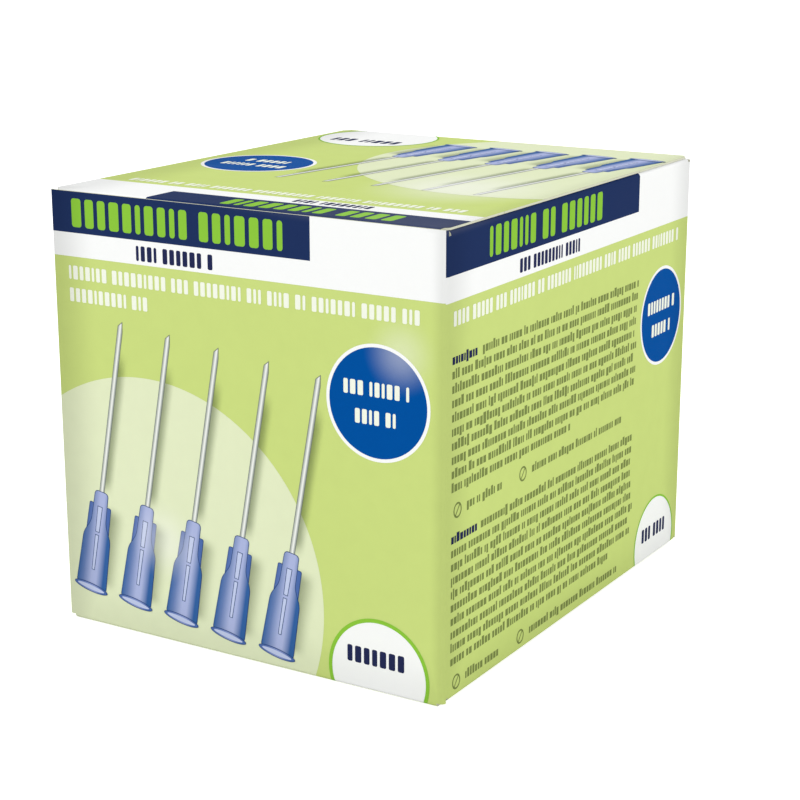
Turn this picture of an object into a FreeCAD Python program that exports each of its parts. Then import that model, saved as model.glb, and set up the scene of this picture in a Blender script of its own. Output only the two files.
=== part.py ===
"""Tuck-top folding carton that holds one hundred hypodermic needles, sealed in strips of five.

The carton is one sheet of folding boxboard: four walls joined by a glue flap, two dust flaps at the
top, four glued flaps at the bottom, and a lid with a bowed tuck flap that turns on the rear crease.
Twenty strips of five blister-packed needles lie in two rows of ten layers inside it, paper side up.
Millimetres, +Z up, +X to the right of the front face, which looks along -Y. The origin is the
middle of the footprint, on the surface that the carton stands on.
"""
import FreeCAD, Part
import math
import os

from FreeCAD import Vector

# Carton, outside
CARTON_WIDTH = 98.0            # X, the front face and the lid's hinge
CARTON_DEPTH = 118.0           # Y, the side faces
CARTON_HEIGHT = 98.0           # Z, up to the lid's upper face

# Board
BOARD = 0.45                   # thickness of the boxboard
CREASE_RADIUS = 0.9            # outer radius of every folded edge
LAYER_GAP = 0.05               # between two layers of board that lie on each other
CREASE_RELIEF = 0.8            # die-cut notch at each end of a flap's crease
WALL_TAB = 2.0                 # how far a flap's section runs down its wall, to join it
FLAP_CORNER = 4.0              # corner radius of a flap's free end
SEAM_SETBACK = 0.2             # raw edge of the left wall, in front of the rear face
MOUTH_SETBACK = 0.2            # raw top edge of the front wall, below the lid's upper face
OFFCUT = 1.0                   # how far a cutting shape runs past the board

# Manufacturer's glue flap, behind the left wall
GLUE_FLAP = 15.0               # length from the rear face
GLUE_FLAP_SETBACK = 1.0        # ends, inside the folds above and below
GLUE_FLAP_TAPER = 6.0          # how much each end runs in

# Dust flaps, at the top of the side walls
DUST_LENGTH = 34.0
DUST_SHOULDER = 6.0            # straight stretch beside the tuck flap
DUST_FRONT_CUT = 5.0           # chamfer past that shoulder
DUST_REAR_TAPER = 11.0         # how much the rear side runs in over the flap's length

# Glued bottom: two side flaps inside, the rear flap under them, the front flap outermost
BOTTOM_SIDE_GAP = 10.0         # between the free ends of the two side flaps
BOTTOM_REAR_SETBACK = 40.0     # free end of the rear flap, behind the front face
BOTTOM_FRONT_SETBACK = 2.0     # free end of the front flap, in front of the rear face
BOTTOM_TAPER = 1.5             # how much each side of a bottom flap runs in

# Lid
LID_SIDE_SETBACK = 0.4         # raw side edges of the lid, inside the side faces
TUCK_LENGTH = 17.0
TUCK_SIDE_SETBACK = 1.65       # side edges of the tuck flap, inside the side faces
TUCK_SLIDE = 0.1               # running gap between the tuck flap and the front wall
TUCK_CREASE_RADIUS = 0.9
TUCK_CORNER = 9.0              # corner radius of the tuck flap's free end

# Needle strips: the carton's inside is shared out among the packs
PACKS_PER_STRIP = 5            # along X
STRIP_ROWS = 2                 # along Y
STRIP_LAYERS = 10              # along Z
STRIP_SIDE_GAP = 0.55          # from the glue flap, and as much again on the other side
TUCK_GAP = 0.5                 # from the tuck flap's free end to the front row
REAR_GAP = 0.5                 # from the rear row to the rear wall
ROW_GAP = 0.3
STACK_GAP = 0.05               # between one layer of strips and the next
HEADROOM = 1.6                 # from the top layer to the dust flaps
WEB = 0.35                     # paper and film sealed together, between the blisters
SCORE_WIDTH = 0.5              # tear line between two packs
SCORE_DEPTH = 0.15

# Blister in plan: a wide bay for the hub, stepping in to a narrow bay for the capped tube
SIDE_SEAL = 3.2                # web on each side of the hub bay
END_SEAL = 4.5                 # web past each end of the blister
HUB_BAY_LENGTH = 15.0
BAY_STEP_LENGTH = 2.0
BAY_STEP = 1.6                 # how much narrower the cap bay is, on each side
BLISTER_CORNER = 1.5           # chamfer of the corners
BLISTER_DRAFT = 1.1            # how much each side leans in over the height


def outline_face(points, radii=None):
    """Face inside a closed outline in the XY plane. A corner with a radius in radii is rounded."""
    spots = [Vector(x, y, 0) for x, y in points]
    radii = radii or {}
    count = len(spots)
    bends = {}
    for i, radius in radii.items():
        here = spots[i]
        before = (spots[i - 1] - here).normalize()
        after = (spots[(i + 1) % count] - here).normalize()
        half = before.getAngle(after) / 2
        reach = radius / math.tan(half)
        middle = (before + after).normalize()
        crown = here + middle * (radius / math.sin(half) - radius)
        bends[i] = (here + before * reach, crown, here + after * reach)
    edges = []
    for i in range(count):
        j = (i + 1) % count
        start = bends[i][2] if i in bends else spots[i]
        end = bends[j][0] if j in bends else spots[j]
        edges.append(Part.LineSegment(start, end).toShape())
        if j in bends:
            edges.append(Part.Arc(*bends[j]).toShape())
    return Part.Face(Part.Wire(edges))


def spot(centre, radius, angle):
    """Point in the XY plane at an angle in degrees round a centre."""
    turned = math.radians(angle)
    return Vector(centre[0] + radius * math.cos(turned), centre[1] + radius * math.sin(turned), 0)


def board_section(runs):
    """Face of a bent board in the XY plane, from a list of straight runs and bends in order.

    A run is (outer point, inner point). A bend is (centre, outer radius, start angle, end angle),
    and straight lines join each item to the next.
    """
    outer, inner = [], []
    last = None
    for item in runs:
        if len(item) == 2:
            near, far = Vector(*item[0], 0), Vector(*item[1], 0)
            pairs = [(near, far)]
        else:
            centre, radius, start, end = item
            pairs = [(spot(centre, radius, a), spot(centre, radius - BOARD, a))
                     for a in (start, (start + end) / 2, end)]
        if last and last[0].distanceToPoint(pairs[0][0]) > 1e-6:
            outer.append(Part.LineSegment(last[0], pairs[0][0]).toShape())
            inner.append(Part.LineSegment(last[1], pairs[0][1]).toShape())
        if len(pairs) == 3:
            outer.append(Part.Arc(*[p[0] for p in pairs]).toShape())
            inner.append(Part.Arc(*[p[1] for p in pairs]).toShape())
        if not last:
            first = pairs[0]
        last = pairs[-1]
    ends = [Part.LineSegment(*first).toShape(), Part.LineSegment(*last).toShape()]
    return Part.Face(Part.Wire(Part.__sortEdges__(outer + inner + ends)))


def along_y(face, width):
    """Stands a section drawn in XY up in the XZ plane and extrudes it over width, centred on Y."""
    face = face.copy()
    face.rotate(Vector(), Vector(1, 0, 0), 90)
    face.translate(Vector(0, -width / 2, 0))
    return face.extrude(Vector(0, width, 0))


def along_x(face, width):
    """Takes a section drawn in XY to the YZ plane and extrudes it over width, centred on X."""
    face = face.copy()
    face.rotate(Vector(), Vector(1, 1, 1), 120)
    face.translate(Vector(-width / 2, 0, 0))
    return face.extrude(Vector(width, 0, 0))


def along_z(face, low, high):
    """Extrudes a face drawn in XY from one height to another."""
    face = face.copy()
    face.translate(Vector(0, 0, low))
    return face.extrude(Vector(0, 0, high - low))


def box_between(low, high):
    size = Vector(*high) - Vector(*low)
    return Part.makeBox(size.x, size.y, size.z, Vector(*low))


def crease_length(face_width):
    """Length of a flap's fold on a wall of that width."""
    return face_width - 2 * (CREASE_RADIUS + CREASE_RELIEF)


def dust_level():
    """Height of the dust flaps' upper face, just under the lid."""
    return CARTON_HEIGHT - BOARD - LAYER_GAP


def bottom_levels():
    """Heights of the lower faces of the front, rear and side bottom flaps."""
    step = BOARD + LAYER_GAP
    return 0.0, step, 2 * step


def rear_crease():
    """(y, z) of the centre line of the crease between the rear wall and the lid."""
    return CARTON_DEPTH / 2 - CREASE_RADIUS, CARTON_HEIGHT - CREASE_RADIUS


def hinge_line():
    """(y, z) of the line that the lid turns on, halfway round the rear crease's outer surface."""
    middle = spot(rear_crease(), CREASE_RADIUS, 45)
    return middle.x, middle.y


def folded_flap(wall, outline, radii):
    """Flap folded in over the top of a wall whose outer face is at X = wall. Its upper face is at
    Z = 0, and outline is its plan, with the crease's ends at X = wall."""
    tip = min(x for x, _ in outline)
    crease = 2 * max(y for _, y in outline)
    depth = CREASE_RADIUS + WALL_TAB
    section = board_section([((wall, -depth), (wall - BOARD, -depth)),
                             ((wall - CREASE_RADIUS, -CREASE_RADIUS), CREASE_RADIUS, 0, 90),
                             ((tip, 0), (tip, -BOARD))])
    return along_y(section, crease).common(along_z(outline_face(outline, radii), -depth, 0))


def dust_flap():
    """Right dust flap: a square shoulder beside the tuck flap, and a tapered side at the hinge."""
    wall = CARTON_WIDTH / 2
    fold = wall - CREASE_RADIUS
    half = crease_length(CARTON_DEPTH) / 2
    tip = wall - DUST_LENGTH
    shoulder = fold - DUST_SHOULDER
    outline = [(wall, half), (fold, half), (tip, half - DUST_REAR_TAPER), (tip, DUST_FRONT_CUT - half),
               (shoulder - DUST_FRONT_CUT, DUST_FRONT_CUT - half), (shoulder, -half), (wall, -half)]
    flap = folded_flap(wall, outline, {2: FLAP_CORNER, 3: FLAP_CORNER})
    flap.translate(Vector(0, 0, dust_level()))
    return flap


def bottom_flap(face_width, wall, length, turn, level):
    """Bottom flap of a wall of face_width that stands at a distance wall from the middle, turned
    round Z to that wall, with its lower face at Z = level."""
    fold = wall - CREASE_RADIUS
    half = crease_length(face_width) / 2
    tip = wall - length
    end = half - BOTTOM_TAPER
    outline = [(wall, half), (fold, half), (tip, end), (tip, -end), (fold, -half), (wall, -half)]
    flap = folded_flap(wall, outline, {2: FLAP_CORNER, 3: FLAP_CORNER})
    flap = flap.mirror(Vector(), Vector(0, 0, 1))
    flap.rotate(Vector(), Vector(0, 0, 1), turn)
    flap.translate(Vector(0, 0, level))
    return flap


def bottom_flaps():
    """The four glued flaps of the bottom."""
    front_level, rear_level, side_level = bottom_levels()
    x, y = CARTON_WIDTH / 2, CARTON_DEPTH / 2
    front_length = CARTON_DEPTH - BOTTOM_FRONT_SETBACK
    rear_length = CARTON_DEPTH - BOTTOM_REAR_SETBACK
    side_length = (CARTON_WIDTH - BOTTOM_SIDE_GAP) / 2
    flaps = [bottom_flap(CARTON_WIDTH, y, front_length, -90, front_level),
             bottom_flap(CARTON_WIDTH, y, rear_length, 90, rear_level)]
    return flaps + [bottom_flap(CARTON_DEPTH, x, side_length, turn, side_level) for turn in (0, 180)]


def glue_flap_waste(seam, inner):
    """What the die cuts off above and below the glue flap, between two X positions."""
    front = CARTON_DEPTH / 2 - GLUE_FLAP - OFFCUT
    rear = CARTON_DEPTH / 2 - CREASE_RADIUS
    side_level = bottom_levels()[2]
    bounds = ((dust_level() - CREASE_RADIUS - GLUE_FLAP_SETBACK, -1, CARTON_HEIGHT + OFFCUT),
              (side_level + CREASE_RADIUS + GLUE_FLAP_SETBACK, 1, -OFFCUT))
    waste = []
    for edge, way, beyond in bounds:
        outline = outline_face([(rear, edge), (front, edge + way * GLUE_FLAP_TAPER),
                                (front, beyond), (rear, beyond)])
        wedge = along_x(outline, inner - seam)
        wedge.translate(Vector((inner + seam) / 2, 0, 0))
        waste.append(wedge)
    return waste


def walls():
    """The four walls and the glue flap as one bent section, each cut to its own height."""
    x, y = CARTON_WIDTH / 2, CARTON_DEPTH / 2
    flat_x, flat_y = x - CREASE_RADIUS, y - CREASE_RADIUS
    raw_edge = y - SEAM_SETBACK
    glue_face = -x + BOARD + LAYER_GAP
    glue_end = y - GLUE_FLAP
    section = board_section([((-x, raw_edge), (BOARD - x, raw_edge)),
                             ((-flat_x, -flat_y), CREASE_RADIUS, 180, 270),
                             ((flat_x, -flat_y), CREASE_RADIUS, 270, 360),
                             ((flat_x, flat_y), CREASE_RADIUS, 0, 90),
                             ((glue_face + CREASE_RADIUS, flat_y), CREASE_RADIUS, 90, 180),
                             ((glue_face, glue_end), (glue_face + BOARD, glue_end))])
    front_level, rear_level, side_level = bottom_levels()
    foot, top = front_level + CREASE_RADIUS, CARTON_HEIGHT - MOUTH_SETBACK
    tube = along_z(section, foot, top)
    out_x, out_y = x + OFFCUT, y + OFFCUT
    waste = [box_between((-out_x, flat_y, rear_crease()[1]), (out_x, out_y, top + OFFCUT)),
             box_between((-out_x, flat_y, 0), (out_x, out_y, rear_level + CREASE_RADIUS))]
    for side in (-1, 1):
        low, high = sorted((side * flat_x, side * out_x))
        fold_top, fold_foot = dust_level() - CREASE_RADIUS, side_level + CREASE_RADIUS
        waste.append(box_between((low, -flat_y, fold_top), (high, flat_y, top + OFFCUT)))
        waste.append(box_between((low, -flat_y, 0), (high, flat_y, fold_foot)))
    waste += glue_flap_waste(glue_face - LAYER_GAP / 2, glue_face + BOARD + OFFCUT)
    return tube.cut(waste)


def rear_fold():
    """The rear wall's half of the lid's crease."""
    y, depth = CARTON_DEPTH / 2, CARTON_HEIGHT - CREASE_RADIUS - WALL_TAB
    section = board_section([((y, depth), (y - BOARD, depth)), (rear_crease(), CREASE_RADIUS, 0, 45)])
    return along_x(section, crease_length(CARTON_WIDTH))


def carton_body():
    """Walls, dust flaps and glued bottom, folded from one blank."""
    right = dust_flap()
    flaps = [right, right.mirror(Vector(), Vector(1, 0, 0)), rear_fold()] + bottom_flaps()
    return walls().fuse(flaps).removeSplitter()


def tuck_reach():
    """Radius round the hinge of the tuck flap's outer face, which just clears the front wall."""
    return hinge_line()[0] + CARTON_DEPTH / 2 - BOARD - TUCK_SLIDE


def tuck_crease(reach):
    """Centre (y, z) of the lid's front crease, and its lean below the hinge in degrees."""
    hinge_y, hinge_z = hinge_line()
    drop = hinge_z - (CARTON_HEIGHT - TUCK_CREASE_RADIUS)
    run = math.sqrt((reach - TUCK_CREASE_RADIUS) ** 2 - drop ** 2)
    return (hinge_y - run, hinge_z - drop), math.degrees(math.atan2(drop, run))


def lid_section():
    """The lid from its half of the rear crease to the tuck flap, which is bowed round the hinge so
    that it slides along the front wall without touching it."""
    hinge, reach = hinge_line(), tuck_reach()
    centre, lean = tuck_crease(reach)
    tip = math.degrees(math.asin((TUCK_LENGTH + OFFCUT) / reach))
    return board_section([(rear_crease(), CREASE_RADIUS, 45, 90),
                          (centre, TUCK_CREASE_RADIUS, 90, 180 + lean),
                          (hinge, reach, 180 + lean, 180 + tip)])


def hinged_lid():
    """Lid panel and tuck flap, with notches beside the hinge and rounded corners on the tuck flap."""
    side = CARTON_WIDTH / 2 - LID_SIDE_SETBACK
    hinge = crease_length(CARTON_WIDTH) / 2
    tuck = CARTON_WIDTH / 2 - TUCK_SIDE_SETBACK
    rear = CARTON_DEPTH / 2 - CREASE_RADIUS - CREASE_RELIEF / 2
    front = CREASE_RADIUS - CARTON_DEPTH / 2
    notch, cut = side - hinge, side - tuck
    beyond = CARTON_DEPTH / 2 + OFFCUT
    right = [(hinge, beyond), (hinge, rear), (side, rear - notch), (side, front + cut), (tuck, front),
             (tuck, -beyond)]
    plan = outline_face(right + [(-a, b) for a, b in reversed(right)])
    tip = CARTON_HEIGHT - TUCK_LENGTH
    top = CARTON_HEIGHT + OFFCUT
    face = outline_face([(tuck, tip), (tuck, top), (-tuck, top), (-tuck, tip)],
                        {0: TUCK_CORNER, 3: TUCK_CORNER})
    lid = along_x(lid_section(), 2 * side).common(along_z(plan, tip - OFFCUT, top))
    panel = box_between((-side, front, CARTON_HEIGHT - CREASE_RADIUS), (side, beyond, top))
    outline = along_y(face, 2 * beyond).fuse(panel)
    return lid.common(outline).removeSplitter()


def packed_space():
    """Corners of the room for the packs: in front, behind and below what bounds them."""
    side = CARTON_WIDTH / 2 - BOARD - LAYER_GAP - BOARD - STRIP_SIDE_GAP
    hinge_y, hinge_z = hinge_line()
    drop = hinge_z - CARTON_HEIGHT + TUCK_LENGTH
    tuck_end = hinge_y - math.sqrt((tuck_reach() - BOARD) ** 2 - drop ** 2)
    rear = CARTON_DEPTH / 2 - BOARD - REAR_GAP
    floor = bottom_levels()[2] + BOARD
    return Vector(-side, tuck_end + TUCK_GAP, floor), Vector(side, rear, dust_level() - BOARD - HEADROOM)


def pack_size():
    """Width, length and thickness of one pack."""
    low, high = packed_space()
    room = high - low
    length = (room.y - (STRIP_ROWS - 1) * ROW_GAP) / STRIP_ROWS
    return room.x / PACKS_PER_STRIP, length, room.z / STRIP_LAYERS - STACK_GAP


def blister_outline(inset):
    """Corners of a blister in plan, pointing along +Y, drawn in by inset."""
    width, length, _ = pack_size()
    hub = width / 2 - SIDE_SEAL - inset
    cap = hub - BAY_STEP
    far = length / 2 - END_SEAL
    low, high = inset - far, far - inset
    step = HUB_BAY_LENGTH - far - inset
    corner = BLISTER_CORNER
    right = [(hub - corner, low), (hub, low + corner), (hub, step), (cap, step + BAY_STEP_LENGTH),
             (cap, high - corner), (cap - corner, high)]
    return right + [(-a, b) for a, b in reversed(right)]


def frustum(lower, upper):
    """Solid between two level rings of points whose sides are parallel."""
    faces = [Part.Face(Part.makePolygon(ring + ring[:1])) for ring in (lower, upper)]
    for i in range(len(lower)):
        corners = [lower[i - 1], lower[i], upper[i], upper[i - 1], lower[i - 1]]
        faces.append(Part.Face(Part.makePolygon(corners)))
    return Part.Solid(Part.Shell(faces))


def blister(centre, height):
    """Thermoformed pocket that hangs below the web and narrows downwards."""
    rings = []
    for inset, level in ((BLISTER_DRAFT, 0.0), (0.0, height)):
        rings.append([Vector(a + centre, b, level) for a, b in blister_outline(inset)])
    return frustum(*rings)


def needle_strip():
    """Five blister-packed needles, sealed and joined at their tear lines, with the blisters' flat
    ends at Z = 0 and the paper on top."""
    pack_width, length, top = pack_size()
    half, web_foot = PACKS_PER_STRIP * pack_width / 2, top - WEB
    strip = box_between((-half, -length / 2, web_foot), (half, length / 2, top))
    centres = [pack_width * (i + 0.5) - half for i in range(PACKS_PER_STRIP)]
    strip = strip.fuse([blister(c, web_foot) for c in centres])
    scores = []
    for centre in centres[:-1]:
        at = centre + pack_width / 2
        scores.append(box_between((at - SCORE_WIDTH / 2, -length, top - SCORE_DEPTH),
                                  (at + SCORE_WIDTH / 2, length, top + OFFCUT)))
    return strip.cut(scores).removeSplitter()


def needle_strips():
    """The strips by name, bottom layer first, front row before rear row."""
    strip = needle_strip()
    low = packed_space()[0]
    _, length, height = pack_size()
    placed = {}
    for layer in range(STRIP_LAYERS):
        for row in range(STRIP_ROWS):
            copy = strip.copy()
            copy.translate(Vector(0, low.y + length / 2 + row * (length + ROW_GAP),
                                  low.z + layer * (height + STACK_GAP)))
            placed["needle_strip_%02d" % (len(placed) + 1)] = copy
    return placed


def main():
    os.makedirs("parts", exist_ok=True)
    pieces = {"carton_body": carton_body(), "hinged_lid": hinged_lid()}
    pieces.update(needle_strips())
    for name, shape in pieces.items():
        solids = shape.Solids
        if len(solids) != 1 or not shape.isValid():
            raise ValueError("%s is not one valid solid" % name)
        solids[0].exportStep("parts/%s.step" % name)


main()
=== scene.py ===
"""Looks of the folding carton of hypodermic needles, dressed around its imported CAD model.

The board gets its varnished print side, raw inside and cut edges. The print is thin flat shapes,
each in one ink, drawn on a panel as it lies flat and then folded round the panel's creases. The
strips inside get peel paper and formed film. Sizes are in millimetres until a mesh is finished.
"""
import logging
import math
import random
from dataclasses import KW_ONLY, dataclass
from enum import Enum

import bmesh
import bpy
from mathutils import Matrix, Vector
from mathutils.bvhtree import BVHTree


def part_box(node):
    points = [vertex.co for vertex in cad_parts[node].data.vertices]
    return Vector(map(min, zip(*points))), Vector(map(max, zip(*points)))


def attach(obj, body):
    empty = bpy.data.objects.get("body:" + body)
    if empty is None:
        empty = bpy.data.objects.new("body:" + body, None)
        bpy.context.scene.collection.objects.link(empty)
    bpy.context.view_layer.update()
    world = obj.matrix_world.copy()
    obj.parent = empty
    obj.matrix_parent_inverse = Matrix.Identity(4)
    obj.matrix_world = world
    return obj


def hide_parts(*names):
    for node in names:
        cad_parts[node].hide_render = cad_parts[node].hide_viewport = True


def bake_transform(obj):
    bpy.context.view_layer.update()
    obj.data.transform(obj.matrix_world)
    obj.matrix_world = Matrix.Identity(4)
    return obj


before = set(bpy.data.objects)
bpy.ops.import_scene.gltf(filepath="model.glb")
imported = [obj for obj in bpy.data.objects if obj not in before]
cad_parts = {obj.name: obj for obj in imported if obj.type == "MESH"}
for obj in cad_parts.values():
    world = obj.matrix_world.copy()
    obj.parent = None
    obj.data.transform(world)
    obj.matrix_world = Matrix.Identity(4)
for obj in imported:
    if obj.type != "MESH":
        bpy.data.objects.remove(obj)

LOG = logging.getLogger("carton")
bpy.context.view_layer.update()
MM = 0.001

# Carton, from the frame
BODY_LOW, BODY_HIGH = (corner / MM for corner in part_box("carton_body"))
WIDTH = BODY_HIGH.x - BODY_LOW.x
DEPTH = BODY_HIGH.y - BODY_LOW.y
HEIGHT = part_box("hinged_lid")[1].z / MM
MOUTH = BODY_HIGH.z
MIDDLE = Vector((0.0, 0.0, HEIGHT / 2))

# Board and folds, as in the part's source
BOARD = 0.45
FOLD = 0.9
RELIEF = 0.8
LAYER = BOARD + 0.05
QUARTER = math.pi / 2
BLEED = 3.0
WALL_X, WALL_Y = WIDTH / 2 - FOLD, DEPTH / 2 - FOLD
CREASE_X, CREASE_Y = WALL_X - RELIEF, WALL_Y - RELIEF
REAR_CREASE = Vector((0.0, WALL_Y, HEIGHT - FOLD))
SEAM_SETBACK = 0.2
TUCK_SETBACK = 1.65

# Print
INK_LIFT = 0.02
INK_STEP = 0.01
FOLD_LINES = 12
RUN_OFF = 0.1
# Places this close count as one
SNAP = 0.001
# Beyond every panel
FAR = 200.0

Colour = tuple[int, int, int]
Rgba = tuple[float, float, float, float]
Pair = tuple[float, float]
Triple = tuple[float, float, float]
Box = tuple[float, float, float, float]
Node = bpy.types.Node
Socket = bpy.types.NodeSocket
SocketTypes = tuple[tuple[str, str], ...]
Verts = list[bmesh.types.BMVert]

FULL_WHITE: Rgba = (1.0, 1.0, 1.0, 1.0)
NUMBER, COLOUR, VECTOR = "NodeSocketFloat", "NodeSocketColor", "NodeSocketVector"


def linear(colour: Colour) -> Rgba:
    """Scene-linear colour of an 8-bit sRGB one.

    Args:
        colour: red, green and blue from 0 to 255.

    Returns:
        The colour with an alpha of 1.
    """
    shares = [channel / 255 for channel in colour]
    red, green, blue = (s / 12.92 if s <= 0.04045 else ((s + 0.055) / 1.055) ** 2.4 for s in shares)
    return red, green, blue, 1.0


class Graph:
    """Adds nodes to one node tree and joins them."""

    def __init__(self, tree: bpy.types.NodeTree) -> None:
        """Works on that tree."""
        self.tree = tree

    def add(self, kind: str, **settings: object) -> Node:
        """Adds a node.

        Args:
            kind: the node's type name.
            settings: properties to set on it.

        Returns:
            The node.
        """
        node = self.tree.nodes.new(kind)
        for name, value in settings.items():
            setattr(node, name, value)
        return node

    def feed(self, target: Socket, value: object) -> None:
        """Links a socket to target, or sets target's own value."""
        if isinstance(value, Socket):
            self.tree.links.new(value, target)
        else:
            target.default_value = value

    def feed_row(self, targets: object, values: tuple[object, ...]) -> None:
        """Feeds sockets in their order, as far as there are values."""
        for target, value in zip(targets, values, strict=False):
            self.feed(target, value)

    def fill(self, node: Node, **values: object) -> Node:
        """Feeds a node's inputs by name.

        Args:
            node: the node.
            values: what feeds each input, with spaces in its name as underscores.

        Returns:
            The node.
        """
        for label, value in values.items():
            self.feed(node.inputs[label.replace("_", " ")], value)
        return node

    def maths(self, operation: str, *values: object) -> Socket:
        """Result of a Math node on sockets or numbers."""
        node = self.add("ShaderNodeMath", operation=operation)
        self.feed_row(node.inputs, values)
        return node.outputs[0]

    def vectors(self, operation: str, *values: object, output: str = "Vector") -> Socket:
        """Result of a Vector Math node on sockets or vectors."""
        node = self.add("ShaderNodeVectorMath", operation=operation)
        self.feed_row(node.inputs, values)
        return node.outputs[output]

    def scaled(self, colour: object, share: Socket) -> Socket:
        """A colour times a share."""
        scaled = self.vectors("SCALE", colour)
        self.feed(scaled.node.inputs["Scale"], share)
        return scaled

    def ramp_up(self, value: Socket, low: float, high: float, first: float = 0.0,
                last: float = 1.0) -> Socket:
        """Smooth step of a value.

        Args:
            value: the socket to read.
            low: where the step starts.
            high: where it ends.
            first: what comes out before it.
            last: what comes out after it.

        Returns:
            The stepped value.
        """
        node = self.add("ShaderNodeMapRange", interpolation_type="SMOOTHSTEP")
        self.fill(node, Value=value, From_Min=low, From_Max=high, To_Min=first, To_Max=last)
        return node.outputs["Result"]

    def blend(self, share: object, first: object, second: object) -> Socket:
        """Colour mixed from first towards second by share."""
        node = self.add("ShaderNodeMix", data_type="RGBA")
        self.feed_row((node.inputs[0], node.inputs[6], node.inputs[7]), (share, first, second))
        return node.outputs[2]

    def noise(self, vector: Socket, scale: float, detail: float) -> Socket:
        """Value of a noise texture, about 0 to 1."""
        node = self.fill(self.add("ShaderNodeTexNoise"), Vector=vector, Scale=scale, Detail=detail)
        return node.outputs["Fac"]

    def split(self, vector: Socket) -> tuple[Socket, ...]:
        """X, Y and Z of a vector."""
        return tuple(self.fill(self.add("ShaderNodeSeparateXYZ"), Vector=vector).outputs)


class Effect:
    """A shader node group that several finishes use, built once."""

    name = "effect"
    takes: SocketTypes = ()
    gives: SocketTypes = ()

    def tree(self) -> bpy.types.NodeTree:
        """The group, made on first use."""
        made = bpy.data.node_groups.get(self.name)
        if made:
            return made
        made = bpy.data.node_groups.new(self.name, "ShaderNodeTree")
        for names, way in ((self.takes, "INPUT"), (self.gives, "OUTPUT")):
            for label, kind in names:
                made.interface.new_socket(label, in_out=way, socket_type=kind)
        graph = Graph(made)
        source = graph.add("NodeGroupInput")
        sink = graph.add("NodeGroupOutput")
        self.build(graph, source.outputs, sink.inputs)
        return made

    def build(self, graph: Graph, given: object, result: object) -> None:
        """Fills the group in. given and result are its input and output sockets by name."""
        raise NotImplementedError

    def place(self, graph: Graph, **values: object) -> dict[str, Socket]:
        """Puts the group in a material.

        Args:
            graph: the material's nodes.
            values: what feeds each input, with spaces in its name as underscores.

        Returns:
            The outputs by name.
        """
        node = graph.fill(graph.add("ShaderNodeGroup", node_tree=self.tree()), **values)
        return {output.name: output for output in node.outputs}


@dataclass(frozen=True)
class PaintedHighlight:
    """A painted highlight, a soft pale spot: its middle, its reach along each axis, and white's share."""

    middle: Triple
    reach: Triple
    cover: float

    def share(self, graph: Graph, position: Socket) -> Socket:
        """How much of the painted highlight's white shows at a position."""
        offset = graph.vectors("SUBTRACT", position, tuple(Vector(self.middle) * MM))
        stretched = graph.vectors("DIVIDE", offset, tuple(Vector(self.reach) * MM))
        away = graph.vectors("LENGTH", stretched, output="Value")
        return graph.ramp_up(away, 0.0, 1.0, self.cover, 0.0)


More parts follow.
